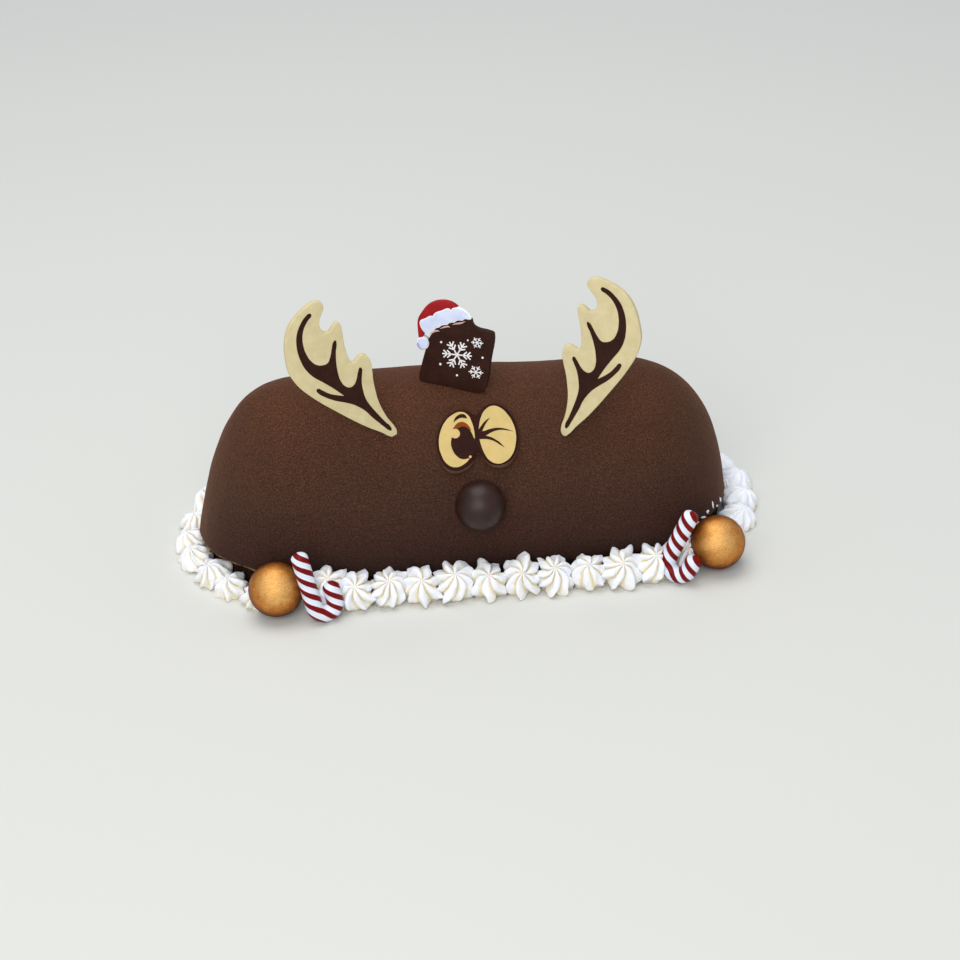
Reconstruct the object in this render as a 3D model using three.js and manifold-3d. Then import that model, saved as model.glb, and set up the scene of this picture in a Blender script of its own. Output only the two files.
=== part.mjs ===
// An ice cream log cake decorated as a deer's face. A dome of ice cream under a cocoa velvet coat
// lies on a chocolate sponge, ringed by piped cream stars. Two gold balls and two candy canes
// stand at its foot, and chocolate pieces make the nose, the eyes, the antlers and a hat plaque.
// Millimetres: +X runs along the log to the right, +Y to the back, +Z up. The origin lies on the
// resting plane under the middle of the log.
import * as THREE from 'three';
import { mergeVertices } from 'three/addons/utils/BufferGeometryUtils.js';
import Module from 'manifold-3d';

const wasm = await Module();
wasm.setup();

const rad = THREE.MathUtils.degToRad;
const GAP = 0.35; // air left between pieces that touch
const WELD = 1e-4; // corners nearer than this are one corner

// ---- Driving dimensions -------------------------------------------------------------------

// The log: where its rounded ends start, how far they reach, the powers of their outlines (2 is an
// ellipse, more is squarer) seen from above and from the front, and how much they draw in upwards.
const LOG = {
  leftStart: 74.5, leftEnd: 50, leftPower: 1.75, leftRise: 3.3, leftDraft: 0.33,
  rightStart: 75, rightEnd: 49.5, rightPower: 1.85, rightRise: 2.8, rightDraft: 0.11,
  halfWidth: 51, widthRise: 1.98,
  footHeight: 10.7, domeHeight: 71.7,
};
const CROWN = { drop: 0.07, top: -37, reach: 124 }; // the ridge falls towards the ends
const SPONGE_INSET = 6; // the sponge stands back under the velvet's lower edge

// The ring of cream stars: its rounded outline, and the star that is piped along it by hand, with
// the share of the ring and of its size that a star may be off. None stands where a ball does.
const RING = { shift: 1.5, halfLength: 130, halfWidth: 60.5, end: 57, power: 1.75 };
const STAR = { count: 43, radius: 9.2, height: 14, ribs: 7, twist: rad(16) };
const STAR_ROW = { start: 0.012, wander: 0.0011, spread: 0.05, ballClearance: 11 };

const BALL_RADIUS = 12.5;
const BALL_PLACES = { left: [-89.3, -60.7], right: [112.3, -54.5] };

// Candy canes: J shapes that stand on their bend, turned about the vertical, leant back against the
// stars, and tipped sideways in their own plane.
const CANE = { radius: 3.9, bend: 4.9, lean: rad(15) };
const CANES = {
  left: { stem: 25.5, hook: 8.9, at: [-68.1, -69.3], yaw: rad(15), turn: rad(8.5) },
  right: { stem: 22.5, hook: 7.7, at: [93.9, -63.4], yaw: rad(-35), turn: rad(-14.5) },
};

const NOSE = { radius: 11.5, at: [5.4, -48.9, 39.9] };

// Flat chocolate pieces: each stands at a point, turned about the vertical, leant back, and turned
// in its own plane. The eyes are two ovals in a common rim, with a bridge between them.
const EYES = { thickness: 3, rim: 1.2, spacing: 18.1, tilt: rad(5.5), bridge: [8, 19] };
const EYE_OVALS = { left: [8.15, 12.5], right: [8.35, 13.2] };
const EYES_PLACE = { at: [6.4, -33.6, 66.4], yaw: 0, lean: rad(41), turn: rad(1.5) };

// The plaque with a hat on its upper left corner, measured from its lower left corner.
const PLAQUE = { width: 31.2, height: 32.6, corner: 3, thickness: 3 };
const HAT_BAND = { centre: [8.8, 31], length: 23.5, width: 8, corner: 3.6, angle: rad(25) };
const POMPOM = { centre: [-1.1, 18.5], radius: 2.9 };
const PLAQUE_PLACE = { at: [-16.3, -5.2, 81.2], yaw: rad(-19), lean: rad(6), turn: rad(-9) };

const ANTLER_THICKNESS = 2.8;
const ANTLER_PLACES = {
  left: { at: [-30, -29.6, 68.9], yaw: rad(15.4), lean: rad(5.3), turn: rad(12.8) },
  right: { at: [45.6, -33.4, 64], yaw: rad(-21.7), lean: rad(7.2), turn: 0 },
};

// ---- Solids and geometries ----------------------------------------------------------------

// A closed geometry, moved by a matrix, as a solid that can be joined and cut.
function solidOf(geometry, matrix = new THREE.Matrix4()) {
  const bare = geometry.clone().applyMatrix4(matrix);
  bare.deleteAttribute('normal');
  bare.deleteAttribute('uv');
  const welded = mergeVertices(bare, WELD);
  return new wasm.Manifold(new wasm.Mesh({
    numProp: 3,
    vertProperties: new Float32Array(welded.attributes.position.array),
    triVerts: new Uint32Array(welded.index.array),
  }));
}

function geometryOf(solid) {
  const mesh = solid.getMesh();
  const geometry = new THREE.BufferGeometry();
  geometry.setAttribute('position', new THREE.BufferAttribute(mesh.vertProperties, 3));
  geometry.setIndex(new THREE.BufferAttribute(mesh.triVerts, 1));
  geometry.computeVertexNormals();
  return geometry;
}

// Cuts solids that stand in the cake's frame out of a placed mesh.
function cutFrom(mesh, ...tools) {
  mesh.updateWorldMatrix(true, false);
  let solid = solidOf(mesh.geometry, mesh.matrixWorld);
  for (const tool of tools) solid = solid.subtract(tool);
  mesh.geometry = geometryOf(solid).applyMatrix4(mesh.matrixWorld.clone().invert());
}

// The solid joined with copies moved each way, far enough that every face moves out by the gap.
function grown(solid) {
  const shift = GAP * Math.sqrt(3);
  let result = solid;
  for (const way of [-shift, shift]) {
    result = result.add(solid.translate([way, 0, 0]));
    result = result.add(solid.translate([0, way, 0]));
    result = result.add(solid.translate([0, 0, way]));
  }
  return result;
}

// A closed skin through rings of points that run counter-clockwise, from the lowest ring up. Its
// ends close to their centre points, or, where mirror is given, by strips between the points k and
// mirror - k of a ring.
function loft(rings, { low, high, mirror }) {
  const around = rings[0].length;
  const points = rings.flat();
  const faces = [];
  for (let level = 0; level < rings.length - 1; level += 1) {
    for (let k = 0; k < around; k += 1) {
      const next = (k + 1) % around;
      const [a, b] = [level * around + k, level * around + next];
      faces.push([a, b, b + around], [a, b + around, a + around]);
    }
  }
  const top = (rings.length - 1) * around;
  if (mirror !== undefined) {
    const other = (k) => (mirror - k + 2 * around) % around;
    const first = mirror / 2;
    for (let step = 0; step < around / 2; step += 1) {
      const [k, next] = [first + step, (first + step + 1) % around];
      for (const face of [[k, next, other(next)], [k, other(next), other(k)]]) {
        if (new Set(face).size < 3) continue;
        faces.push(face.map((corner) => top + corner), face.toReversed());
      }
    }
  } else {
    points.push(low, high);
    for (let k = 0; k < around; k += 1) {
      const next = (k + 1) % around;
      faces.push([points.length - 2, next, k], [points.length - 1, top + k, top + next]);
    }
  }
  const geometry = new THREE.BufferGeometry();
  geometry.setAttribute('position', new THREE.Float32BufferAttribute(points.flat(), 3));
  geometry.setIndex(faces.flat());
  geometry.computeVertexNormals();
  return geometry;
}

// ---- The log's plan -----------------------------------------------------------------------

const END_STEPS = 12;
const SIDE_STEPS = 7;

// The outline of a log with rounded ends, seen from above and counter-clockwise from the front of
// its right end.
function planOutline({
  leftStart, rightStart, leftEnd, rightEnd, halfWidth, leftPower, rightPower,
}) {
  const points = [];
  const round = (start, reach, power, from) => {
    for (let step = 0; step <= END_STEPS; step += 1) {
      const angle = from + (Math.PI * step) / END_STEPS;
      const [c, s] = [Math.cos(angle), Math.sin(angle)];
      points.push([
        start + Math.sign(c) * reach * Math.abs(c) ** (2 / power),
        Math.sign(s) * halfWidth * Math.abs(s) ** (2 / power),
      ]);
    }
  };
  const side = (from, to, y) => {
    for (let step = 1; step < SIDE_STEPS; step += 1) {
      points.push([THREE.MathUtils.lerp(from, to, step / SIDE_STEPS), y]);
    }
  };
  round(rightStart, rightEnd, rightPower, -Math.PI / 2);
  side(rightStart, -leftStart, halfWidth);
  round(-leftStart, leftEnd, leftPower, Math.PI / 2);
  side(-leftStart, rightStart, -halfWidth);
  return points;
}

// ---- Ice cream log and sponge -------------------------------------------------------------

const DOME_RINGS = 11;
const RIDGE = 0.9985; // the share of the height where the last ring closes to the ridge

// The dome, or a tool that is larger by extra at its foot and sides.
function logGeometry(extra = 0) {
  const shrink = (share, power) => (1 - share ** power) ** (1 / power);
  const last = DOME_RINGS - 1;
  const rings = [];
  for (let level = 0; level <= last; level += 1) {
    const share = Math.min(Math.sin((Math.PI / 2) * (level / last)), RIDGE);
    const outline = planOutline({
      ...LOG,
      leftEnd: extra + LOG.leftEnd * shrink(share, LOG.leftRise) * (1 - LOG.leftDraft * share),
      rightEnd: extra + LOG.rightEnd * shrink(share, LOG.rightRise) * (1 - LOG.rightDraft * share),
      halfWidth: extra + LOG.halfWidth * shrink(share, LOG.widthRise),
    });
    rings.push(outline.map(([x, y]) => {
      const crown = 1 - CROWN.drop * ((x - CROWN.top) / CROWN.reach) ** 2;
      return [x, y, LOG.footHeight - extra + LOG.domeHeight * share * crown];
    }));
  }
  return loft(rings, { mirror: END_STEPS });
}

function spongeGeometry() {
  const outline = planOutline({
    ...LOG,
    leftEnd: LOG.leftEnd - SPONGE_INSET,
    rightEnd: LOG.rightEnd - SPONGE_INSET,
    halfWidth: LOG.halfWidth - SPONGE_INSET,
  });
  const rings = [0, LOG.footHeight - GAP].map((z) => outline.map(([x, y]) => [x, y, z]));
  return loft(rings, { mirror: END_STEPS });
}

// ---- Cream stars --------------------------------------------------------------------------

// Rib crest and valley of a star, as shares of its radius and height, from the plate up.
const STAR_RIB = [[0.9, 0], [1, 0.22], [0.8, 0.62], [0.44, 1]];
const STAR_VALLEY = [[0.7, 0], [0.72, 0.25], [0.52, 0.6], [0.28, 0.84]];
const STAR_CENTRE = 0.82;

// A piped star. Its radius towards an angle is limited by reach(angle).
function starGeometry(radius, height, reach) {
  const rings = STAR_RIB.map((rib, level) => {
    const ring = [];
    for (let k = 0; k < 2 * STAR.ribs; k += 1) {
      const [share, rise] = k % 2 === 0 ? rib : STAR_VALLEY[level];
      const angle = (Math.PI * k) / STAR.ribs + STAR.twist * rise;
      const out = Math.min(radius * share, reach(angle));
      ring.push([out * Math.cos(angle), out * Math.sin(angle), height * rise]);
    }
    return ring;
  });
  return loft(rings, { low: [0, 0, 0], high: [0, 0, height * STAR_CENTRE] });
}

const ringOutline = planOutline({
  leftStart: RING.halfLength - RING.end - RING.shift,
  rightStart: RING.halfLength - RING.end + RING.shift,
  leftEnd: RING.end, rightEnd: RING.end,
  leftPower: RING.power, rightPower: RING.power,
  halfWidth: RING.halfWidth,
});
const ringCurve = new THREE.CatmullRomCurve3(
  ringOutline.map(([x, y]) => new THREE.Vector3(x, y, 0)), true, 'centripetal',
);

const starPlaces = [];
for (let k = 0; k < STAR.count; k += 1) {
  const centre = ringCurve.getPointAt(
    k / STAR.count + STAR_ROW.start + STAR_ROW.wander * Math.sin(2.4 * k),
  );
  const distances = Object.values(BALL_PLACES).map(([x, y]) => Math.hypot(centre.x - x, centre.y - y));
  if (Math.min(...distances) > STAR_ROW.ballClearance) {
    starPlaces.push({ centre, size: 1 + STAR_ROW.spread * Math.sin(1.7 * k), turn: 1.3 * k });
  }
}

// ---- Candy cane ---------------------------------------------------------------------------

// A J lying in the X-Z plane: a stem down to a round bend, and a short hook up again.
class CaneLine extends THREE.Curve {
  constructor(stem, hook) {
    super();
    this.stem = stem;
    this.hook = hook;
  }

  getPoint(share, target = new THREE.Vector3()) {
    const arc = Math.PI * CANE.bend;
    const along = share * (this.stem + arc + this.hook);
    if (along < this.stem) return target.set(-CANE.bend, 0, this.stem - along);
    if (along > this.stem + arc) return target.set(CANE.bend, 0, along - this.stem - arc);
    const angle = (along - this.stem) / CANE.bend;
    return target.set(-CANE.bend * Math.cos(angle), 0, -CANE.bend * Math.sin(angle));
  }
}

const CANE_SIDES = 9;
const CANE_STEPS = 18;

function caneGeometry({ stem, hook }, radius) {
  const circle = new THREE.EllipseCurve(0, 0, radius, radius);
  const section = new THREE.Shape(circle.getPoints(CANE_SIDES).slice(0, -1));
  return new THREE.ExtrudeGeometry(section, {
    steps: CANE_STEPS, bevelEnabled: false, extrudePath: new CaneLine(stem, hook),
  });
}

// ---- Flat chocolate pieces ----------------------------------------------------------------

// A plate of an outline, with its front face at z = 0 and its back towards -z.
function plate(points, thickness) {
  const shape = new THREE.Shape(points.map(([x, y]) => new THREE.Vector2(x, y)));
  const geometry = new THREE.ExtrudeGeometry(shape, { depth: thickness, bevelEnabled: false });
  return geometry.translate(0, 0, -thickness);
}

const pairs = (points) => points.map(({ x, y }) => [x, y]);

function ovalOutline([halfWidth, halfHeight], [x, y], turn, steps) {
  const curve = new THREE.EllipseCurve(x, y, halfWidth, halfHeight, 0, 2 * Math.PI, false, turn);
  return pairs(curve.getPoints(steps).slice(0, -1));
}

// A rectangle with round corners, its lower left corner at the origin.
function roundedOutline(width, height, corner, steps = 4) {
  const [right, upper] = [width - corner, height - corner];
  const centres = [[right, corner], [right, upper], [corner, upper], [corner, corner]];
  const points = [];
  centres.forEach(([x, y], quarter) => {
    for (let step = 0; step <= steps; step += 1) {
      const angle = (Math.PI / 2) * (quarter - 1 + step / steps);
      points.push([x + corner * Math.cos(angle), y + corner * Math.sin(angle)]);
    }
  });
  return points;
}

const joinedPlates = (outlines, thickness) => geometryOf(outlines
  .map((outline) => solidOf(plate(outline, thickness)))
  .reduce((joined, solid) => joined.add(solid)));

const EYE_STEPS = 28;

// The eyes' plaque, or a tool that is larger by extra all round and behind.
function eyesGeometry(extra = 0) {
  const rim = EYES.rim + extra;
  const oval = ([halfWidth, halfHeight], way) => ovalOutline(
    [halfWidth + rim, halfHeight + rim], [(way * EYES.spacing) / 2, 0], way * EYES.tilt, EYE_STEPS,
  );
  const [right, top] = [EYES.bridge[0] / 2, EYES.bridge[1] / 2 + extra];
  const bridge = [[-right, -top], [right, -top], [right, top], [-right, top]];
  return joinedPlates(
    [oval(EYE_OVALS.left, -1), oval(EYE_OVALS.right, 1), bridge], EYES.thickness + extra,
  );
}

// The crown of the hat: a smooth run over its top, closed by corners that lie on the plaque.
const HAT_TOP = [
  [17, 37], [13.4, 40.2], [8.3, 41.7], [2.6, 40.4], [-1.8, 36.8], [-4.3, 30.5], [-4.3, 24], [-3.2, 19],
];
const HAT_INNER_CORNERS = [[2, 20], [10, 28]];
const HAT_STEPS = 14;
const POMPOM_STEPS = 16;

function plaqueGeometry() {
  const { centre, length, width, corner, angle } = HAT_BAND;
  const band = roundedOutline(length, width, corner).map(([u, v]) => new THREE.Vector2(
    centre[0] + u - length / 2, centre[1] + v - width / 2,
  ).rotateAround(new THREE.Vector2(...centre), angle));
  const top = new THREE.SplineCurve(HAT_TOP.map(([x, y]) => new THREE.Vector2(x, y)));
  return joinedPlates([
    roundedOutline(PLAQUE.width, PLAQUE.height, PLAQUE.corner),
    pairs(band),
    [...pairs(top.getSpacedPoints(HAT_STEPS)), ...HAT_INNER_CORNERS],
    ovalOutline([POMPOM.radius, POMPOM.radius], POMPOM.centre, 0, POMPOM_STEPS),
  ], PLAQUE.thickness);
}

// ---- Antlers ------------------------------------------------------------------------------

// The right antler from its rounded tip up the inner edge with two notches, over the top, and down
// the outer edge.
const ANTLER_OUTLINE = [
  [0.4, -0.9], [-1.4, 1], [-1, 4.7], [0.5, 9.8], [1.7, 19], [0.8, 29], [-1, 37.5], [0.5, 42.9],
  [2.6, 43.4], [5.8, 41.4], [7.5, 44.3], [7.5, 50], [6, 59.4], [6.9, 62.5], [9.1, 61.9],
  [12.2, 59.9], [14.6, 62.8], [13.9, 66.8], [10.3, 72.1], [10.8, 74.9], [13.6, 75.9],
  [20.5, 74.1], [26.4, 70.9], [30.4, 66], [33.6, 57.5], [34.7, 49.8], [32.5, 40.7], [26, 29.7],
  [16.2, 16.4], [5.5, 4.1], [2, 0.1],
];
const ANTLER_STEPS = 70;

function antlerGeometry(side) {
  const flip = side === 'left' ? -1 : 1;
  const corners = ANTLER_OUTLINE.map(([x, y]) => new THREE.Vector3(flip * x, y, 0));
  const curve = new THREE.CatmullRomCurve3(corners, true, 'centripetal');
  return plate(pairs(curve.getSpacedPoints(ANTLER_STEPS).slice(0, -1)), ANTLER_THICKNESS);
}

// ---- Materials ----------------------------------------------------------------------------

const finish = (color, roughness, metalness = 0) => (
  new THREE.MeshStandardMaterial({ color, roughness, metalness })
);
const VELVET = finish(0x4e352c, 0.95);
const SPONGE = finish(0x2e1d15, 0.95);
const CREAM = finish(0xeeeeea, 0.55);
const GOLD = finish(0xc08a3c, 0.45, 0.6);
const SUGAR = finish(0xc9a3ab, 0.3);
const DARK_CHOCOLATE = finish(0x3a2620, 0.5);
const WHITE_CHOCOLATE = finish(0xddcda0, 0.5);
const COCOA_SHELL = finish(0x4a2a1e, 0.5);

// ---- The cake -----------------------------------------------------------------------------

const cake = new THREE.Group();

function addPiece(name, geometry, material, parent = cake) {
  const mesh = new THREE.Mesh(geometry, material);
  mesh.name = name;
  parent.add(mesh);
  return mesh;
}

// Stands a flat piece up with its face to the front.
function addStanding(name, geometry, material, { at, yaw, lean, turn }) {
  const stand = new THREE.Group();
  stand.position.set(...at);
  stand.rotation.set(Math.PI / 2 - lean, 0, yaw, 'ZXY');
  cake.add(stand);
  const mesh = addPiece(name, geometry, material, stand);
  mesh.rotation.z = turn;
  return mesh;
}

// The solid of a geometry that is placed as a mesh is.
function toolFor(mesh, geometry) {
  mesh.updateWorldMatrix(true, false);
  return solidOf(geometry, mesh.matrixWorld);
}

const ballGeometry = (radius) => new THREE.SphereGeometry(radius, 18, 11).rotateX(Math.PI / 2);

addPiece('sponge_base', spongeGeometry(), SPONGE);
const log = addPiece('ice_cream_log', logGeometry(), VELVET);

const nose = addPiece('nose_ball', ballGeometry(NOSE.radius), COCOA_SHELL);
nose.position.set(...NOSE.at);
const eyes = addStanding('eye_plaque', eyesGeometry(), DARK_CHOCOLATE, EYES_PLACE);
const hatPlaque = addStanding('hat_plaque', plaqueGeometry(), DARK_CHOCOLATE, PLAQUE_PLACE);

// The velvet gives way under each piece: under an antler and the plaque only near their feet.
const TIP_BOX = [28, 28, 14];
const PLAQUE_FOOT = 8;
const plaqueFoot = roundedOutline(PLAQUE.width + 2 * GAP, PLAQUE_FOOT, PLAQUE.corner);
const dents = [
  toolFor(nose, ballGeometry(NOSE.radius + GAP)),
  toolFor(eyes, eyesGeometry(GAP)),
  toolFor(hatPlaque, plate(plaqueFoot, PLAQUE.thickness + 2 * GAP).translate(-GAP, -GAP, GAP)),
];
for (const [side, place] of Object.entries(ANTLER_PLACES)) {
  const antler = addStanding(`antler_${side}`, antlerGeometry(side), WHITE_CHOCOLATE, place);
  const tip = toolFor(antler, new THREE.BoxGeometry(...TIP_BOX));
  dents.push(grown(toolFor(antler, antler.geometry).intersect(tip)));
}
cutFrom(log, ...dents);

// What stands at the foot of the log presses into the stars it touches.
const footTools = [solidOf(logGeometry(GAP))];
for (const [side, [x, y]] of Object.entries(BALL_PLACES)) {
  const ball = addPiece(`gold_ball_${side}`, ballGeometry(BALL_RADIUS), GOLD);
  ball.position.set(x, y, BALL_RADIUS);
  footTools.push(toolFor(ball, ballGeometry(BALL_RADIUS + GAP)));
}
for (const [side, shape] of Object.entries(CANES)) {
  const stand = new THREE.Group();
  stand.position.set(...shape.at, CANE.radius + CANE.bend * Math.cos(CANE.lean));
  stand.rotation.set(-CANE.lean, 0, shape.yaw, 'ZXY');
  cake.add(stand);
  const cane = addPiece(`candy_cane_${side}`, caneGeometry(shape, CANE.radius), SUGAR, stand);
  cane.rotation.y = -shape.turn;
  footTools.push(toolFor(cane, caneGeometry(shape, CANE.radius + GAP)));
}

// A star ends midway to each of its neighbours.
starPlaces.forEach(({ centre, size, turn }, index) => {
  const ways = starPlaces.filter((other) => other.centre !== centre)
    .map((other) => other.centre.clone().sub(centre));
  const reach = (angle) => Math.min(...ways.map((way) => {
    const facing = Math.cos(angle + turn - Math.atan2(way.y, way.x));
    return facing > 0 ? (way.length() - GAP) / 2 / facing : Infinity;
  }));
  const name = `cream_star_${String(index + 1).padStart(2, '0')}`;
  const star = addPiece(name, starGeometry(STAR.radius * size, STAR.height * size, reach), CREAM);
  star.position.copy(centre);
  star.rotation.z = turn;
  const near = footTools.filter((tool) => !toolFor(star, star.geometry).intersect(tool).isEmpty());
  if (near.length > 0) cutFrom(star, ...near);
});

export default cake;
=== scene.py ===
# An ice cream log cake decorated as a deer's face, built piece by piece in the frame of its packed
# solids. Sizes are millimetres, made metres by MM. The log lies along X, the face looks towards -Y,
# and Z is up from the resting plane.
import math

import bmesh
import bpy
from mathutils import Matrix, Vector, noise


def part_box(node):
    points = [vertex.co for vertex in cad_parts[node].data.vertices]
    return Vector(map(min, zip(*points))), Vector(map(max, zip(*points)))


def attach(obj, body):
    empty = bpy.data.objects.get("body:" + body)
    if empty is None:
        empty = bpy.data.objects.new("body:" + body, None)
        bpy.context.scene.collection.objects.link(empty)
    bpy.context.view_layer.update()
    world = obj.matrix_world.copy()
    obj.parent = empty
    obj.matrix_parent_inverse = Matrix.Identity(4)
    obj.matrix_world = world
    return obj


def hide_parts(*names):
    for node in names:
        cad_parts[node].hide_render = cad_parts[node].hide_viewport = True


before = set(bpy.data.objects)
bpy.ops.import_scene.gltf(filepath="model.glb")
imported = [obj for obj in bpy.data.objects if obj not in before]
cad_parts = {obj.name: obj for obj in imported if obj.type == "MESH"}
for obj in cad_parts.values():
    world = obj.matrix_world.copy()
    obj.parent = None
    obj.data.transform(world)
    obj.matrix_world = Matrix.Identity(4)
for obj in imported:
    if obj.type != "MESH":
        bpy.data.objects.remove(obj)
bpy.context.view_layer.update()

bpy.ops.object.select_all(action="DESELECT")

# ---- The ice cream log ---------------------------------------------------------------------
# A half-round log of ice cream, frozen in a mould and turned out, then sprayed with melted
# chocolate and cocoa butter, which sets on the cold log as a velvety brown coat. Its cut lower
# edge stands a little over the sponge.
MM = 0.001
LOG_FOOT = 10.7
LOG_HEIGHT = 71.7
LOG_HALF_LENGTH = 125
LOG_HALF_WIDTH = 51.0
LOG_WIDTH_RISE = 1.98  # power of the curve by which the sides draw in upwards
LOG_ENDS = {  # where each rounded end starts, how far it reaches, the powers of its curves from above
    # and from the side, how far it leans in, and how far its foot's corners are pushed out
    1: {"start": 75.0, "reach": 49.5, "power": 1.85, "rise": 2.8, "draft": 0.11, "corner": 2.3},
    -1: {"start": 74.5, "reach": 50.0, "power": 1.75, "rise": 3.3, "draft": 0.33, "corner": 5.0},
}
CROWN_DROP, CROWN_TOP, CROWN_REACH = 0.07, -37.0, 124.0  # the ridge falls towards the ends
RIDGE_DIP, RIDGE_DIP_AT, RIDGE_DIP_REACH = 1.8, 42, 26
CORNER_HEIGHT = 42  # where the push at the foot's corners has faded out
EDGE_SAG, EDGE_SAG_AT, EDGE_SAG_REACH, EDGE_SAG_HEIGHT = 2.8, 12, 88, 9  # of the front lower edge
EDGE_LIFT, EDGE_LIFT_HEIGHT = 4.2, 17  # of its corners
SURFACE_WAVES = ((0.35, 30), (0.12, 7))  # height and size
CUT_EDGE_WAVES = ((0.55, 3.1), (0.35, 1.3))
END_STEPS, SIDE_STEPS, LOG_LEVELS = 52, 36, 28
LOWER_EDGE = [(-0.5, -0.35), (-1.0, -1.0), (-5.5, -1.0)]  # inwards and down from the widest line


def pick(piece):
    """Makes one piece the only selected one."""
    bpy.ops.object.select_all(action="DESELECT")
    piece.select_set(True)
    bpy.context.view_layer.objects.active = piece


def select_points(piece, test):
    """In edit mode, selects the points whose place, in millimetres, passes the test."""
    cage = bmesh.from_edit_mesh(piece.data)
    for point in cage.verts:
        point.select = bool(test(*(part / MM for part in point.co)))
    cage.select_flush_mode()
    bmesh.update_edit_mesh(piece.data)


def apply_modifier(piece, kind, **settings):
    pick(piece)
    modifier = piece.modifiers.new(kind.title(), kind)
    for name, value in settings.items():
        setattr(modifier, name, value)
    bpy.ops.object.modifier_apply(modifier=modifier.name)


def log_outline():
    """The foot of the log seen from above, counter-clockwise from the front of its right end."""
    outline = []
    for way in (1, -1):
        end, other = LOG_ENDS[way], LOG_ENDS[-way]
        for step in range(END_STEPS + 1):
            angle = math.pi * (step / END_STEPS - 0.5)
            across = math.copysign(abs(math.sin(angle)) ** (2 / end["power"]), math.sin(angle))
            along = end["start"] + end["reach"] * abs(math.cos(angle)) ** (2 / end["power"])
            outline.append((way * along, way * across * LOG_HALF_WIDTH))
        for step in range(1, SIDE_STEPS):
            along = end["start"] - (end["start"] + other["start"]) * step / SIDE_STEPS
            outline.append((way * along, way * LOG_HALF_WIDTH))
    return outline


def foot_ring(outline, inset=0.0):
    """A ring along the foot's outline, that far inside it."""
    bpy.ops.mesh.primitive_circle_add(vertices=len(outline), radius=LOG_HALF_WIDTH * MM)
    ring = bpy.context.object
    for point, (x, y) in zip(ring.data.vertices, outline):
        point.co = (x * (1 - inset / LOG_HALF_LENGTH) * MM, y * (1 - inset / LOG_HALF_WIDTH) * MM, 0)
    bpy.ops.object.mode_set(mode="EDIT")
    bpy.ops.mesh.select_all(action="SELECT")
    return ring


def left_of(share, power):
    """What a curve of that power leaves of a width at a share of the height."""
    return (1 - share ** power) ** (1 / power)


def end_reach(way, share):
    end = LOG_ENDS[way]
    return end["reach"] * left_of(share, end["rise"]) * (1 - end["draft"] * share)


def waves(place, heights_and_sizes):
    """Unevenness at a place, from waves of noise."""
    return sum(height * noise.noise(place / size) for height, size in heights_and_sizes)


outline = log_outline()
log = foot_ring(outline)
lower = 0.0
for level in range(1, LOG_LEVELS + 1):
    share = math.sin(math.pi / 2 * level / LOG_LEVELS)
    top = share * LOG_HEIGHT
    bpy.ops.mesh.extrude_region_move(
        TRANSFORM_OT_translate={"value": (0, 0, (share - lower) * LOG_HEIGHT * MM)})
    narrower = left_of(share, LOG_WIDTH_RISE) / left_of(lower, LOG_WIDTH_RISE)
    bpy.ops.transform.resize(value=(1, narrower, 1), center_override=(0, 0, top * MM))
    for way, end in LOG_ENDS.items():
        select_points(log, lambda x, y, z: z > top - 1e-3 and way * x > end["start"] + 1e-3)
        shorter = end_reach(way, share) / end_reach(way, lower)
        bpy.ops.transform.resize(
            value=(shorter, 1, 1), center_override=(way * end["start"] * MM, 0, top * MM))
    select_points(log, lambda x, y, z: z > top - 1e-3)
    lower = share
select_points(log, lambda x, y, z: z < 1e-3)
last_in, last_down = 0.0, 0.0
for inwards, down in LOWER_EDGE:
    bpy.ops.mesh.extrude_region_move(
        TRANSFORM_OT_translate={"value": (0, 0, (down - last_down) * MM)})
    bpy.ops.transform.resize(
        value=(1 + (inwards - last_in) / LOG_HALF_LENGTH, 1 + (inwards - last_in) / LOG_HALF_WIDTH, 1),
        center_override=(0, 0, 0))
    last_in, last_down = inwards, down
bpy.ops.mesh.edge_face_add()
bpy.ops.mesh.select_all(action="SELECT")
bpy.ops.mesh.remove_doubles(threshold=1e-6)
bpy.ops.mesh.normals_make_consistent(inside=False)
bpy.ops.transform.translate(value=(0, 0, LOG_FOOT * MM))
bpy.ops.object.mode_set(mode="OBJECT")
apply_modifier(log, "SUBSURF", levels=1, render_levels=1)
over_edge = log.data.attributes.new("over_edge", "FLOAT", "POINT")
over_edge.data.foreach_set("value", [point.co.z / MM - LOG_FOOT for point in log.data.vertices])
normals = [Vector(point.normal) for point in log.data.vertices]
for point, normal in zip(log.data.vertices, normals):  # the mould's crown, unevenness and cut edge
    place = point.co / MM
    rise = place.z - LOG_FOOT
    place.z -= rise * CROWN_DROP * ((place.x - CROWN_TOP) / CROWN_REACH) ** 2
    place.z -= rise / LOG_HEIGHT * RIDGE_DIP * math.exp(-((place.x - RIDGE_DIP_AT) / RIDGE_DIP_REACH) ** 2)
    end = LOG_ENDS[1 if place.x > 0 else -1]
    over_end = max(0.0, abs(place.x) - end["start"]) / end["reach"]
    over_side = abs(place.y) / LOG_HALF_WIDTH
    corner = 2 * over_end * over_side / max(over_end ** 2 + over_side ** 2, 1e-6)
    outwards = Vector((normal.x, normal.y, 0))
    place += outwards * end["corner"] * corner ** 2 * max(0.0, 1 - max(rise, 0) / CORNER_HEIGHT)
    near_foot = max(0.0, 1 - max(rise, 0) / 3.5)
    if place.y < 0:  # the front edge sags in the middle, and is cut higher at the corners
        in_middle = max(0.0, 1 - (abs(place.x - EDGE_SAG_AT) / EDGE_SAG_REACH) ** 4)
        place.z -= EDGE_SAG * max(0.0, 1 - abs(rise) / EDGE_SAG_HEIGHT) * in_middle
        place.z += EDGE_LIFT * max(0.0, 1 - abs(rise) / EDGE_LIFT_HEIGHT) * corner ** 2
    push = waves(place, SURFACE_WAVES)
    push += near_foot * waves(place, CUT_EDGE_WAVES)
    point.co = (place + push * normal) * MM
bpy.ops.object.shade_smooth()


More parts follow.
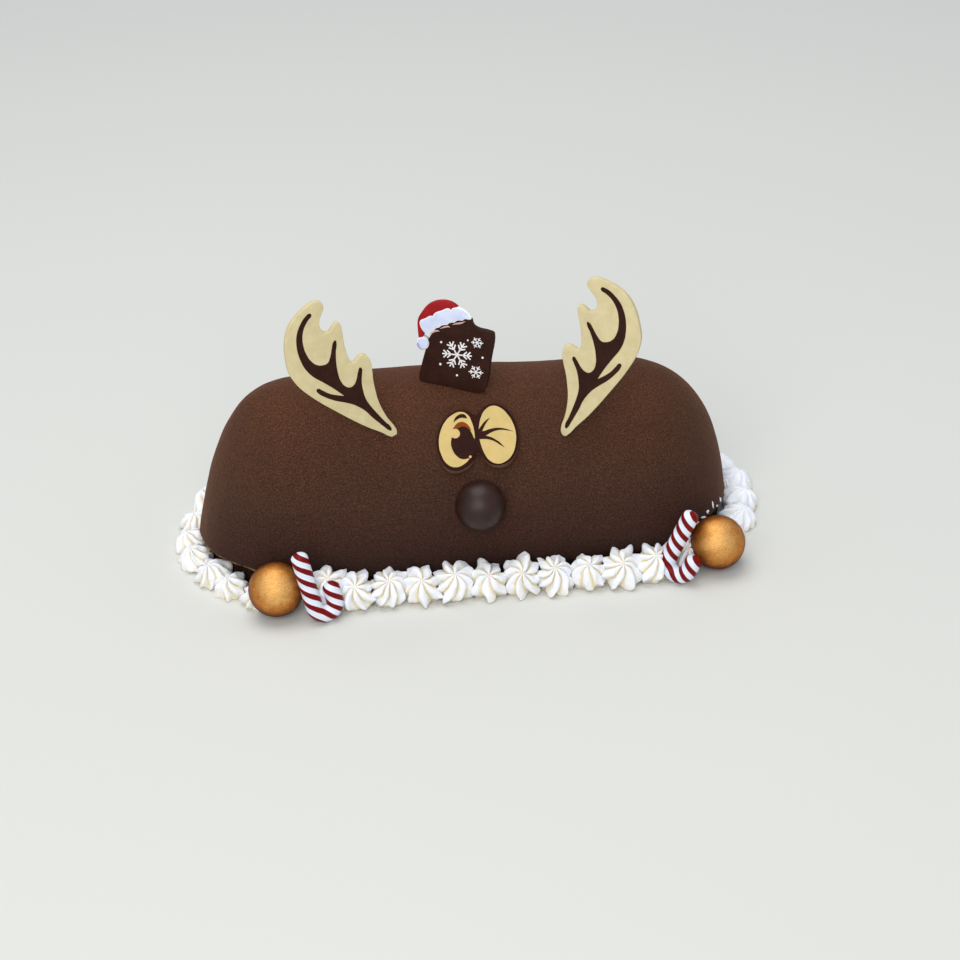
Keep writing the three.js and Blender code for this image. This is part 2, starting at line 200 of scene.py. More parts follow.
def new_finish(name, roughness, specular=0.5):
    """A material, its nodes, its shader and the piece's own coordinates."""
    finish = bpy.data.materials.new(name)
    finish.use_nodes = True
    tree = finish.node_tree
    shader = tree.nodes["Principled BSDF"]
    shader.inputs["Roughness"].default_value = roughness
    shader.inputs["Specular IOR Level"].default_value = specular
    return finish, tree, shader, tree.nodes.new("ShaderNodeTexCoord").outputs["Object"]


def linear(red, green, blue):
    """A colour of 0 to 255 a channel, as the shader takes it."""
    parts = [part / 255 for part in (red, green, blue)]
    return [p / 12.92 if p <= 0.04045 else ((p + 0.055) / 1.055) ** 2.4 for p in parts] + [1.0]


def grain(tree, place, size, detail=2.0, roughness=0.5):
    """Noise in patches of about that size in millimetres."""
    node = tree.nodes.new("ShaderNodeTexNoise")
    node.inputs["Scale"].default_value = 1 / (size * MM)
    node.inputs["Detail"].default_value = detail
    node.inputs["Roughness"].default_value = roughness
    tree.links.new(place, node.inputs["Vector"])
    return node.outputs["Fac"]


def tinted(tree, value, *stops):
    """A colour from a value, by stops of (value, colour)."""
    ramp = tree.nodes.new("ShaderNodeValToRGB")
    steps = ramp.color_ramp.elements
    while len(steps) < len(stops):
        steps.new(0.5)
    for step, (at, colour) in zip(steps, stops):
        step.position = at
        step.color = colour
    tree.links.new(value, ramp.inputs["Fac"])
    return ramp.outputs["Color"]


def blended(tree, share, first, second, how="MIX"):
    """Two colours mixed by a share, which is a value or a number."""
    mix = tree.nodes.new("ShaderNodeMix")
    mix.data_type = "RGBA"
    mix.blend_type = how
    for socket, value in ((mix.inputs["Factor"], share), (mix.inputs["A"], first),
                          (mix.inputs["B"], second)):
        if hasattr(value, "is_linked"):
            tree.links.new(value, socket)
        else:
            socket.default_value = value
    return mix.outputs["Result"]


def between(tree, value, start, end, first=0.0, last=1.0):
    """A value brought from start..end to first..last, and held at both ends."""
    node = tree.nodes.new("ShaderNodeMapRange")
    for name, number in (("From Min", start), ("From Max", end), ("To Min", first), ("To Max", last)):
        node.inputs[name].default_value = number
    tree.links.new(value, node.inputs["Value"])
    return node.outputs["Result"]


def along(tree, place, axis):
    """How far a point is along an axis, in millimetres; MapRange holds it within a metre."""
    split = tree.nodes.new("ShaderNodeSeparateXYZ")
    tree.links.new(place, split.inputs["Vector"])
    return between(tree, split.outputs[axis], -1, 1, -1 / MM, 1 / MM)


def maths(tree, how, first, second=0.0):
    """One step of arithmetic on values or numbers."""
    node = tree.nodes.new("ShaderNodeMath")
    node.operation = how
    for socket, value in zip(node.inputs, (first, second)):
        if hasattr(value, "is_linked"):
            tree.links.new(value, socket)
        else:
            socket.default_value = value
    return node.outputs["Value"]


def raised(tree, shader, value, height):
    """Relief of that height in millimetres, on top of the relief that is already there."""
    bump = tree.nodes.new("ShaderNodeBump")
    bump.inputs["Distance"].default_value = height * MM
    tree.links.new(value, bump.inputs["Height"])
    if shader.inputs["Normal"].is_linked:
        tree.links.new(shader.inputs["Normal"].links[0].from_socket, bump.inputs["Normal"])
    tree.links.new(bump.outputs["Normal"], shader.inputs["Normal"])


def finish_piece(piece, name, material, nodes=()):
    """Names a piece, gives it its finish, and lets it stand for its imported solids."""
    piece.name = piece.data.name = name
    piece.data.materials.clear()
    piece.data.materials.append(material)
    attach(piece, "root")
    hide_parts(*nodes)


velvet, tree, coat, place = new_finish("cocoa_velvet", 0.92, 0.25)
coat.inputs["Sheen Weight"].default_value = 0.16
coat.inputs["Sheen Roughness"].default_value = 0.45
coat.inputs["Sheen Tint"].default_value = linear(232, 164, 122)
height = along(tree, place, "Z")
# The coat is made lighter upwards to match the photograph's shading.
by_height = tinted(tree, between(tree, height, 10, 84),
                   (0.0, linear(58, 34, 25)), (0.16, linear(77, 48, 37)),
                   (0.45, linear(92, 61, 47)), (1.0, linear(110, 70, 45)))
cloud = tinted(tree, grain(tree, place, 45), (0.3, linear(230, 226, 226)), (0.7, linear(250, 240, 230)))
fine = tinted(tree, grain(tree, place, 0.62, 3.0, 0.75),
              (0.36, linear(128, 121, 119)), (0.52, linear(194, 190, 188)), (0.66, linear(255, 255, 250)))
colour = blended(tree, 1.0, blended(tree, 1.0, by_height, cloud, "MULTIPLY"), fine, "MULTIPLY")
edge = tree.nodes.new("ShaderNodeAttribute")
edge.attribute_name = "over_edge"
# At the left its lowest rim is scraped to a tan colour.
scraped = maths(tree, "MULTIPLY", between(tree, edge.outputs["Fac"], 1.5, 0.7),
                between(tree, grain(tree, place, 4), 0.38, 0.55))
scraped = maths(tree, "MULTIPLY", scraped, between(tree, along(tree, place, "X"), -60, -84))
colour = blended(tree, scraped, colour, linear(138, 108, 72))
tree.links.new(colour, coat.inputs["Base Color"])
raised(tree, coat, grain(tree, place, 1.6, 3.0), 0.35)
raised(tree, coat, grain(tree, place, 0.45, 2.0, 0.6), 0.16)
finish_piece(log, "log_velvet", velvet, ["ice_cream_log"])

# ---- The sponge ----------------------------------------------------------------------------
# A thin sheet of chocolate sponge that the log is set on, cut smaller than the log all round. It
# is dark and moist, with an open crumb, and shows as a gap under the velvet's edge.
SPONGE_INSET, SPONGE_TOP_INSET, SPONGE_LAYERS = 3.0, 4, 4
PORE_DEPTH, PORE_SIZE = 1.6, 1.7
sheet = foot_ring(outline, SPONGE_INSET)
bpy.ops.mesh.edge_face_add()
for _ in range(SPONGE_LAYERS):
    bpy.ops.mesh.extrude_region_move(
        TRANSFORM_OT_translate={"value": (0, 0, LOG_FOOT / SPONGE_LAYERS * MM)})
bpy.ops.mesh.inset(thickness=SPONGE_TOP_INSET * MM)
bpy.ops.mesh.select_all(action="SELECT")
bpy.ops.mesh.normals_make_consistent(inside=False)
bpy.ops.object.mode_set(mode="OBJECT")
apply_modifier(sheet, "SUBSURF", subdivision_type="SIMPLE", levels=2, render_levels=2)
normals = [Vector(point.normal) for point in sheet.data.vertices]
for point, normal in zip(sheet.data.vertices, normals):  # torn crumb and open pores
    place = point.co / MM
    if place.z > 0.1:
        pore = PORE_DEPTH * max(0.0, noise.noise(place / PORE_SIZE))
        push = 0.5 * noise.noise(place / 5) - pore - 0.5 * noise.noise(place / 0.9)
        point.co = (place + push * normal) * MM
sponge_crumb, tree, crumb, place = new_finish("chocolate_sponge", 0.95, 0.2)
pores = grain(tree, place, 1.8, 4.0, 0.65)
tree.links.new(tinted(tree, pores, (0.3, linear(24, 13, 9)), (0.5, linear(52, 32, 22)),
                      (0.75, linear(86, 58, 40))), crumb.inputs["Base Color"])
raised(tree, crumb, pores, 0.9)
finish_piece(sheet, "sponge_sheet", sponge_crumb, ["sponge_base"])

# ---- The cream stars -----------------------------------------------------------------------
# Whipped cream piped from a star nozzle in a row round the foot of the log. Each star leans back
# on the log, and its ribs end in soft points, which hang down in front and stand up at the back.
noise.seed_set(7)  # without a seed, noise_vector starts from the clock and each run differs
STAR_RADIUS = 9.2
STAR_RINGS = [  # rib radius and height, crease radius and height as shares, and how full the flanks are
    (0.80, -0.20, 0.70, -0.20, 0.45), (1.00, -0.04, 0.78, -0.05, 0.34), (1.13, 0.12, 0.78, 0.08, 0.26),
    (1.02, 0.37, 0.68, 0.27, 0.40), (0.84, 0.62, 0.53, 0.47, 0.54), (0.61, 0.82, 0.36, 0.64, 0.64),
    (0.36, 0.94, 0.21, 0.76, 0.70), (0.15, 0.95, 0.09, 0.82, 0.80),
]
STAR_TOP = 0.83
STAR_KINDS = [(8, 0.6), (7, -0.5), (8, -0.65), (9, 0.7), (7, -0.4)]  # ribs, and twist in radians
STAR_LEAN = 0.55
# Three sorts: at the left end they slumped as they set, at the right end they are larger, smoother
# and further out. Each has its change of size and lean, how far it moves out and up in millimetres,
# how much its points reach up the log, and how uneven it is.
STAR_SORTS = {
    "plain": {"size": 0, "lean": 0, "out": -0.8, "lift": 5.4, "reach": 0.25, "uneven": 0.75},
    "slumped": {"size": -0.13, "lean": -0.22, "out": 0.2, "lift": 2.2, "reach": 0.0, "uneven": 1.15},
    "full": {"size": 0.10, "lean": -0.22, "out": 0.9, "lift": 1.0, "reach": 0.0, "uneven": 0.75},
}
OVERLAP_AT, OVERLAP = -70, 4.5  # one star was piped half on top of its neighbour


def piped_star(ribs, twist):
    """One star on the origin, its axis along Z."""
    around = 4 * ribs
    bpy.ops.mesh.primitive_circle_add(vertices=around, radius=STAR_RADIUS * MM)
    star = bpy.context.object
    bpy.ops.object.mode_set(mode="EDIT")
    bpy.ops.mesh.select_all(action="SELECT")
    for level, (rib, rib_height, crease, crease_height, full) in enumerate(STAR_RINGS):
        if level:
            bpy.ops.mesh.extrude_region_move()
        ring = [point for point in bmesh.from_edit_mesh(star.data).verts if point.select]
        for k, point in enumerate(ring):
            on_rib = (1.0, full, 0.0, full)[k % 4]
            towards_crease = (0.0, 0.35, 0.0, -0.35)[k % 4]
            radius = (crease + (rib - crease) * on_rib) * STAR_RADIUS
            height = (crease_height + (rib_height - crease_height) * on_rib) * STAR_RADIUS
            angle = 2 * math.pi * (k + towards_crease) / around + twist * height / STAR_RADIUS
            point.co = Vector((radius * math.cos(angle), radius * math.sin(angle), height)) * MM
        bmesh.update_edit_mesh(star.data)
    bpy.ops.mesh.extrude_region_move(
        TRANSFORM_OT_translate={"value": (0, 0, (STAR_TOP - STAR_RINGS[-1][3]) * STAR_RADIUS * MM)})
    bpy.ops.mesh.merge(type="CENTER")
    cage = bmesh.from_edit_mesh(star.data)
    cage.verts.ensure_lookup_table()
    sharp = cage.edges.layers.float.get("crease_edge") or cage.edges.layers.float.new("crease_edge")
    for edge in cage.edges:
        first, second = (point.index for point in edge.verts)
        if abs(first - second) == around and first % 4 == second % 4 == 2:
            edge[sharp] = 0.75
        lowest = max(first, second) < 4 * around
        if abs(first - second) == around and first % 4 == second % 4 == 0 and lowest:
            edge[sharp] = 0.8
    bmesh.update_edit_mesh(star.data)
    select_points(star, lambda x, y, z: z < (STAR_RINGS[0][1] + 0.05) * STAR_RADIUS)
    bpy.ops.mesh.edge_face_add()
    bpy.ops.mesh.select_all(action="SELECT")
    bpy.ops.mesh.normals_make_consistent(inside=False)
    bpy.ops.object.mode_set(mode="OBJECT")
    crease = star.data.attributes.new("crease", "FLOAT", "POINT")
    for number, value in enumerate(crease.data):
        value.value = (0.0, 0.45, 1.0, 0.45)[number % 4] if number < around * len(STAR_RINGS) else 0.8
    apply_modifier(star, "SUBSURF", levels=2, render_levels=2)
    bpy.ops.object.shade_smooth()
    return star


def chance(index, kind):
    """One star's own value, the same in each run."""
    return noise.noise(Vector((index * 1.93 + 0.5, kind * 3.1, 0.7))) * 1.4


kinds = [piped_star(ribs, twist) for ribs, twist in STAR_KINDS]
star_nodes = sorted(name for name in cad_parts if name.startswith("cream_star"))
rows = {"front": [], "back": []}
for index, node in enumerate(star_nodes):
    low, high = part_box(node)
    centre = Vector(((low.x + high.x) / 2, (low.y + high.y) / 2, 0))
    spine = Vector((min(max(centre.x, -73 * MM), 74 * MM), 0, 0))
    outwards = (centre - spine).normalized()
    name = "plain"
    if centre.x < -92 * MM and centre.y < 20 * MM:
        name = "slumped"
    elif centre.x > 100 * MM:
        name = "full"
    sort = STAR_SORTS[name]
    source = kinds[index % len(kinds)]
    star = source.copy()
    star.data = source.data.copy()
    bpy.context.collection.objects.link(star)
    if name == "full":
        apply_modifier(star, "SMOOTH", factor=0.5, iterations=70)
        for crease in star.data.attributes["crease"].data:
            crease.value *= 0.3
    turn = chance(index, 1) * 6
    size = 1.04 + 0.07 * chance(index, 2) + sort["size"]
    lean = STAR_LEAN + 0.18 * chance(index, 3) + sort["lean"]
    tilt = Matrix.Rotation(lean, 3, Vector((0, 0, 1)).cross(outwards)) @ Matrix.Rotation(turn, 3, "Z")
    out = 0.2 if name == "full" and centre.y > -12 * MM else sort["out"]
    shift = centre + outwards * (out + 0.5 * chance(index, 4)) * MM
    lift = sort["lift"] * MM
    if centre.y < 0:
        over = math.exp(-((centre.x / MM - OVERLAP_AT) / 6) ** 2)
        lift += OVERLAP * MM * over
        shift.x += OVERLAP * MM * over
    for point in star.data.vertices:
        spot = point.co * size
        on_floor = spot.z < -0.1 * STAR_RADIUS * MM
        around = spot.xy.normalized() if spot.xy.length > 1e-9 else spot.xy
        reach = 1 + 0.26 * noise.noise(Vector((around.x * 2.6, around.y * 2.6, index * 5.3)))
        to_log = max(0.0, -(tilt @ Vector((around.x, around.y, 0))).dot(outwards))
        reach *= 1 + sort["reach"] * to_log * to_log
        spot = tilt @ Vector((spot.x * reach, spot.y * reach, spot.z))
        spot += noise.noise_vector(spot / (5.0 * MM) + Vector((index * 7.1, 0, 0))) * sort["uneven"] * MM
        spot += noise.noise_vector(spot / (2.2 * MM) + Vector((0, index * 7.1, 0))) * 0.22 * MM
        spot += shift
        spot.z = 0.05 * MM if on_floor else max(spot.z + lift, 0.05 * MM)
        point.co = spot
    rows["front" if outwards.y < 0.2 else "back"].append((star, node))
for source in kinds:
    bpy.data.objects.remove(source)

piped_cream, tree, cream, place = new_finish("piped_cream", 0.5, 0.35)
cream.inputs["Subsurface Weight"].default_value = 0.4
cream.inputs["Subsurface Radius"].default_value = (1.0, 0.75, 0.5)
cream.inputs["Subsurface Scale"].default_value = 1.5 * MM
# Painted shade: the creases between the ribs are made a darker yellow. Towards the plate the colour is also
# made yellower.
crease_shade = tree.nodes.new("ShaderNodeAttribute")
crease_shade.attribute_name = "crease"
white = tinted(tree, grain(tree, place, 6), (0.3, linear(238, 242, 252)), (0.7, linear(246, 247, 250)))
crease_shaded = blended(tree, between(tree, crease_shade.outputs["Fac"], 0.45, 1.0, 0, 0.95),
                 white, linear(232, 217, 162))
low_down = between(tree, along(tree, place, "Z"), 5, 0, 0, 0.5)
tree.links.new(blended(tree, low_down, crease_shaded, linear(238, 222, 186)), cream.inputs["Base Color"])
raised(tree, cream, grain(tree, place, 1.5, 3.0), 0.12)
CREAM_FLECKS = [  # on the log's edge at the right: place, half length and width, and turn in degrees
    (124.5, -11, 15.5, 2.7, 1.1, 90), (118.6, -24.0, 15.9, 1.1, 0.7, 70),
    (113.7, -31.6, 18.2, 1.5, 0.6, 80), (110.6, -35.5, 17.3, 0.9, 0.8, 0),
    (108.0, -38.2, 16.2, 2.1, 0.6, -25), (105.0, -40.6, 15.0, 1.0, 0.6, 0),
    (116.0, -28.0, 15.4, 0.6, 0.5, 0)]
FLECK_FLATNESS = 0.5
for number, (x, y, z, long, wide, turn) in enumerate(CREAM_FLECKS):
    bpy.ops.mesh.primitive_ico_sphere_add(subdivisions=3, radius=MM)
    fleck = bpy.context.object
    _, spot, outwards, _ = log.ray_cast(Vector((x + 12, y - 12, z)) * MM, Vector((-12, 12, 0)).normalized())
    lie = outwards.to_track_quat("Z", "Y").to_matrix().to_4x4() @ Matrix.Rotation(math.radians(turn), 4, "Z")
    for point in fleck.data.vertices:
        lump = 1 + 0.5 * noise.noise(point.co / MM * 1.3 + Vector((number * 5.1, 0, 0)))
        point.co = Vector((point.co.x * long, point.co.y * wide, point.co.z * FLECK_FLATNESS)) * lump
    spot += outwards * (1.6 if number == 0 else 0) * MM
    fleck.matrix_world = Matrix.Translation(spot) @ lie
    pick(fleck)
    bpy.ops.object.transform_apply(location=True, rotation=True, scale=True)
    bpy.ops.object.shade_smooth()
    rows["front"].append((fleck, None))
for row, stars in rows.items():
    pick(stars[0][0])
    for star, _ in stars:
        star.select_set(True)
    bpy.ops.object.join()
    joined = bpy.context.object
    finish_piece(joined, f"cream_stars_{row}", piped_cream, [node for _, node in stars if node])

# ---- The gold balls ------------------------------------------------------------------------
# Hollow chocolate shells, each made of two cast halves and rolled in gold lustre dust, which lies
# unevenly in random smears. The front is painted brighter and the back a darker bronze, as painted light and
# shade.
BALL_RADIUS = 12.5
BALL_PLACES = {"left": (-89.3, -60.7), "right": (112.3, -54.5)}
PAINTED_LIGHT_SIDE = Vector((0, -0.8, 0.6))  # painted light: the colour is made brighter on this side and darker bronze on the far side


def shell_ball(radius, centre, seam_tilt, seed, dents=0.05):
    """Two half shells with a fine seam where they meet."""
    bpy.ops.mesh.primitive_uv_sphere_add(segments=96, ring_count=48, radius=radius * MM)
    ball = bpy.context.object
    bpy.ops.object.mode_set(mode="EDIT")
    select_points(ball, lambda x, y, z: abs(z) < 0.02)
    bpy.ops.mesh.bevel(offset=0.16 * MM, segments=2, affect="EDGES")
    select_points(ball, lambda x, y, z: abs(z) < 0.02)
    bpy.ops.transform.resize(value=(0.994, 0.994, 1), center_override=(0, 0, 0))
    bpy.ops.object.mode_set(mode="OBJECT")
    for point in ball.data.vertices:
        spot = point.co / MM
        bump = dents * (noise.noise(spot / 3 + Vector((seed, 0, 0))) + 0.5 * noise.noise(spot / 1.2))
        point.co = (spot + spot.normalized() * bump) * MM
    ball.matrix_world = Matrix.Translation(Vector(centre) * MM) @ Matrix.Rotation(seam_tilt, 4, "X")
    bpy.ops.object.transform_apply(location=True, rotation=True, scale=True)
    bpy.ops.object.shade_smooth()
    return ball


gold_dust, tree, gold, place = new_finish("gold_lustre", 0.6, 0.5)
gold.inputs["Metallic"].default_value = 0.9
# Painted light and shade: each ball's front is made brighter gold and its back darker bronze, mixed with
# random smears of dust.
painted_light = tree.nodes.new("ShaderNodeAttribute")
painted_light.attribute_name = "painted_light"
smear = maths(tree, "MULTIPLY", grain(tree, place, 6, 5.0, 0.7), 0.8)
dust_and_painted_light = between(tree, maths(tree, "ADD", painted_light.outputs["Fac"], smear), 0.62, 1.34)
painted_light_and_dust_colour = tinted(tree, dust_and_painted_light, (0.0, linear(120, 60, 20)), (0.35, linear(190, 120, 50)),
                (0.7, linear(228, 164, 88)), (1.0, linear(246, 198, 124)))
specks = tinted(tree, grain(tree, place, 0.5, 2.0, 0.7), (0.35, linear(214, 204, 192)),
                (0.7, linear(255, 250, 240)))
tree.links.new(blended(tree, 1.0, painted_light_and_dust_colour, specks, "MULTIPLY"), gold.inputs["Base Color"])
tree.links.new(between(tree, dust_and_painted_light, 0, 1, 0.5, 0.62), gold.inputs["Roughness"])
raised(tree, gold, grain(tree, place, 0.6, 3.0), 0.05)
for seed, (side, (x, y)) in enumerate(BALL_PLACES.items()):
    ball = shell_ball(BALL_RADIUS, (x, y, BALL_RADIUS), 0.9 + 0.5 * seed, seed * 9.0)
    # Each point's share of painted light, higher towards the front and top of the ball.
    painted_light = ball.data.attributes.new("painted_light", "FLOAT", "POINT")
    for point, dust_and_painted_light in zip(ball.data.vertices, painted_light.data):
        dust_and_painted_light.value = (point.co / MM - Vector((x, y, BALL_RADIUS))).dot(PAINTED_LIGHT_SIDE) / BALL_RADIUS
    finish_piece(ball, f"gold_ball_{side}_shell", gold_dust, [f"gold_ball_{side}"])

# ---- The candy canes -----------------------------------------------------------------------
# Pulled sugar drawn into a rod with dark red stripes laid along it, twisted, and bent to a J
# while warm. Each stands on its bend in front of the stars.
CANE_RADIUS, CANE_LEAN = 3.9, math.radians(15)
CANES = {
    "left": {"bend": 4.9, "stem": 26.8, "hook": 8.9, "at": (-68.1, -69.3), "yaw": 15, "turn": 7.3,
             "slant": 44, "phase": 0.08},
    "right": {"bend": 5.4, "stem": 25.4, "hook": 7.8, "at": (92.9, -63.9), "yaw": -32, "turn": -21,
              "slant": 33, "phase": 0.48},
}
CANE_PITCH = 4.5  # from one red stripe to the next, across them
CANE_STEPS, CANE_AROUND = 90, 56
STRIPE_SHAKE = 0.6  # how far the stripes' edges wander, in radians of a pitch


def cane_rings(bend, stem, hook):
    """Centre, direction and radius of each ring from the tip of the stem to the tip of the hook."""
    round_end = [(CANE_RADIUS * (1 - math.cos(a)) * 0.75, math.sin(a)) for a in
                 (0.12, 0.35, 0.6, 0.85, 1.1, 1.35, math.pi / 2)]
    arc = math.pi * bend
    length = stem + arc + hook
    cap = round_end[-1][0]
    middle = [cap + (length - 2 * cap) * k / CANE_STEPS for k in range(1, CANE_STEPS)]
    runs = [(s, r) for s, r in round_end] + [(s, 1.0) for s in middle]
    runs += [(length - s, r) for s, r in reversed(round_end)]
    rings = []
    for s, r in runs:
        if s < stem:
            rings.append((Vector((-bend, 0, stem - s)), Vector((1, 0, 0)), s, r))
        elif s > stem + arc:
            rings.append((Vector((bend, 0, s - stem - arc)), Vector((-1, 0, 0)), s, r))
        else:
            a = (s - stem) / bend
            centre = Vector((-bend * math.cos(a), 0, -bend * math.sin(a)))
            rings.append((centre, -centre.normalized(), s, r))
    return rings


def cane(bend, stem, hook, slant):
    """The rod, extruded ring by ring. Its attribute counts the stripes, which slant across the J
    and turn along the rod at its sides."""
    bpy.ops.mesh.primitive_circle_add(vertices=CANE_AROUND, radius=CANE_RADIUS * MM)
    rod = bpy.context.object
    bpy.ops.object.mode_set(mode="EDIT")
    slant, counts = math.radians(slant), []
    for number, (centre, inwards, s, r) in enumerate(cane_rings(bend, stem, hook)):
        if number:
            bpy.ops.mesh.extrude_region_move()
        ring = [p for p in bmesh.from_edit_mesh(rod.data).verts if p.select]
        for k, point in enumerate(ring):
            phi = 2 * math.pi * k / CANE_AROUND
            out = inwards * math.sin(phi) + Vector((0, -1, 0)) * math.cos(phi)
            point.co = (centre + out * CANE_RADIUS * r) * MM
            bent = centre + inwards * CANE_RADIUS * r * 0.8 * math.asin(max(-1, min(1, math.sin(phi))))
            counts.append((bent.x * math.sin(slant) + bent.z * math.cos(slant)) / CANE_PITCH)
        bmesh.update_edit_mesh(rod.data)
    bpy.ops.mesh.edge_face_add()
    select_points(rod, lambda x, y, z: z > stem - 0.12 * CANE_RADIUS and x < 0)
    bpy.ops.mesh.edge_face_add()
    bpy.ops.mesh.select_all(action="SELECT")
    bpy.ops.mesh.normals_make_consistent(inside=False)
    bpy.ops.object.mode_set(mode="OBJECT")
    stripes = rod.data.attributes.new("stripes", "FLOAT", "POINT")
    stripes.data.foreach_set("value", counts)
    bpy.ops.object.shade_smooth()
    return rod


def striped_sugar(name, phase):
    finish, tree, sugar, place = new_finish(name, 0.35, 0.16)
    stripes = tree.nodes.new("ShaderNodeAttribute")
    stripes.attribute_name = "stripes"
    turns = maths(tree, "MULTIPLY", stripes.outputs["Fac"], 2 * math.pi)
    shaky = maths(tree, "MULTIPLY", grain(tree, place, 5), STRIPE_SHAKE)
    wave = maths(tree, "ADD", maths(tree, "ADD", turns, shaky), phase - STRIPE_SHAKE / 2)
    wave = maths(tree, "SINE", wave)
    stripe = between(tree, wave, -0.02, 0.16)
    red = tinted(tree, grain(tree, place, 2), (0.3, linear(104, 2, 6)), (0.7, linear(126, 6, 10)))
    tree.links.new(blended(tree, stripe, linear(226, 232, 244), red), sugar.inputs["Base Color"])
    raised(tree, sugar, wave, 0.12)
    return finish


for side, rod_of in CANES.items():
    rod = cane(rod_of["bend"], rod_of["stem"], rod_of["hook"], rod_of["slant"])
    foot = Vector((*rod_of["at"], CANE_RADIUS + rod_of["bend"] * math.cos(CANE_LEAN))) * MM
    rod.matrix_world = (
        Matrix.Translation(foot) @ Matrix.Rotation(math.radians(rod_of["yaw"]), 4, "Z")
        @ Matrix.Rotation(-CANE_LEAN, 4, "X") @ Matrix.Rotation(-math.radians(rod_of["turn"]), 4, "Y"))
    bpy.ops.object.transform_apply(location=True, rotation=True, scale=True)
    finish_piece(rod, f"candy_cane_{side}_rod", striped_sugar(f"striped_sugar_{side}", rod_of["phase"]),
                 [f"candy_cane_{side}"])

# ---- The nose ------------------------------------------------------------------------------
# A hollow ball of dark chocolate, cast in two halves with a satin skin, pressed into the velvet.
NOSE_RADIUS, NOSE_PLACE = 11.5, (5.4, -48.9, 39.9)
nose_shell, tree, shell, place = new_finish("dark_shell", 0.42, 0.34)
tree.links.new(tinted(tree, grain(tree, place, 5, 3.0), (0.3, linear(33, 16, 11)),
                      (0.7, linear(50, 27, 19))), shell.inputs["Base Color"])
raised(tree, shell, grain(tree, place, 1.2, 3.0), 0.05)
nose = shell_ball(NOSE_RADIUS, NOSE_PLACE, 1.2, 31.0, 0.03)
finish_piece(nose, "nose_shell", nose_shell, ["nose_ball"])

# ---- The eyes ------------------------------------------------------------------------------
# A flat plate of dark chocolate cast with two ovals of white chocolate let into it. One eye is
# open, with a large dark pupil and a light in it. The other winks, with three dark creases.
EYES_AT = ((6.4, -33.6, 66.4), 0, 41, 1.5)
EYES_THICKNESS = 3.0


def flat_piece(points, low, high, soft=0.0, corners=(), inset=0.0):
    """A flat piece in the X-Y plane between two heights, of a smooth closed line through points.
    The line has a corner at the points that corners lists, soft rounds the piece's edges, and
    inset keeps it that far inside the line."""
    bpy.ops.curve.primitive_bezier_circle_add(radius=MM)
    line = bpy.context.object
    knots = line.data.splines[0].bezier_points
    knots.add(len(points) - len(knots))
    for number, ((x, y), knot) in enumerate(zip(points, knots)):
        knot.co = (x * MM, y * MM, 0)
        knot.handle_left_type = knot.handle_right_type = "VECTOR" if number in corners else "AUTO"
    line.data.dimensions = "2D"
    line.data.fill_mode = "BOTH"
    line.data.resolution_u = 7
    line.data.extrude = ((high - low) / 2 - soft) * MM
    line.data.bevel_depth = soft * MM
    line.data.bevel_resolution = 2
    line.data.offset = -(soft + inset) * MM
    line.location = (0, 0, (high + low) / 2 * MM)
    bpy.ops.object.convert(target="MESH")
    piece = bpy.context.object
    bpy.ops.object.transform_apply(location=True, rotation=True, scale=True)
    bpy.ops.object.mode_set(mode="EDIT")
    bpy.ops.mesh.select_all(action="SELECT")
    bpy.ops.mesh.remove_doubles(threshold=1e-6)
    bpy.ops.mesh.normals_make_consistent(inside=False)
    bpy.ops.object.mode_set(mode="OBJECT")
    bpy.ops.object.shade_smooth_by_angle(angle=math.radians(35))
    return piece


def stand_up(piece, at, yaw, lean, turn):
    """Stands a flat piece up to face the front, turned about the vertical, leant back, and turned
    in its own plane."""
    pick(piece)
    piece.matrix_world = (
        Matrix.Translation(Vector(at) * MM) @ Matrix.Rotation(math.radians(yaw), 4, "Z")
        @ Matrix.Rotation(math.radians(90 - lean), 4, "X") @ Matrix.Rotation(math.radians(turn), 4, "Z"))
    bpy.ops.object.transform_apply(location=True, rotation=True, scale=True)


def oval(centre, half_width, half_height, tilt, first=0, last=360, steps=24):
    """Points of a tilted oval from one angle to another; a whole one leaves out its last point."""
    points = []
    for step in range(steps if last - first >= 360 else steps + 1):
        angle = math.radians(first + (last - first) * step / steps)
        x, y = half_width * math.cos(angle), half_height * math.sin(angle)
        c, s = math.cos(math.radians(tilt)), math.sin(math.radians(tilt))
        points.append((centre[0] + x * c - y * s, centre[1] + x * s + y * c))
    return points


def chocolate(name, dark, light, roughness):
    """Tempered chocolate: a satin skin, faintly mottled."""
    finish, tree, shader, place = new_finish(name, roughness, 0.09)
    tree.links.new(tinted(tree, grain(tree, place, 5, 4.0, 0.6), (0.3, linear(*dark)), (0.7, linear(*light))),
                   shader.inputs["Base Color"])
    tree.links.new(between(tree, grain(tree, place, 3), 0.3, 0.7, roughness - 0.08, roughness + 0.08),
                   shader.inputs["Roughness"])
    raised(tree, shader, grain(tree, place, 1.4, 3.0), 0.03)
    return finish


dark_chocolate = chocolate("dark_chocolate", (42, 21, 15), (55, 29, 21), 0.5)
plate_chocolate = chocolate("dark_chocolate_eyes", (38, 12, 7), (50, 18, 11), 0.5)
eye_cream = chocolate("white_chocolate_eyes", (196, 174, 110), (212, 184, 122), 0.5)
amber_chocolate = chocolate("amber_chocolate", (116, 54, 6), (142, 70, 12), 0.5)
OPEN_EYE = [
    (-17.3, -0.7), (-16.0, 4.4), (-13.4, 8.7), (-9.8, 11.5), (-5.7, 12.4), (-2.9, 10.7), (-1.5, 7.2),
    (-0.9, 3.2), (-1.1, -0.8), (-2.1, -4.8), (-3.9, -8.4), (-7.0, -11.3), (-11.2, -12.4), (-14.7, -10.5),
    (-16.8, -6.1)]
WINKING_EYE = [
    (1.0, 1.2), (1.6, 5.2), (2.9, 9.0), (5.0, 12.0), (8.8, 13.6), (12.3, 12.1), (15.0, 8.8), (16.9, 4.5),
    (17.6, 0), (17.0, -4.6), (14.9, -9.4), (11.6, -12.2), (7.8, -12.9), (4.5, -11.1), (2.5, -7.6),
    (1.4, -3.4)]
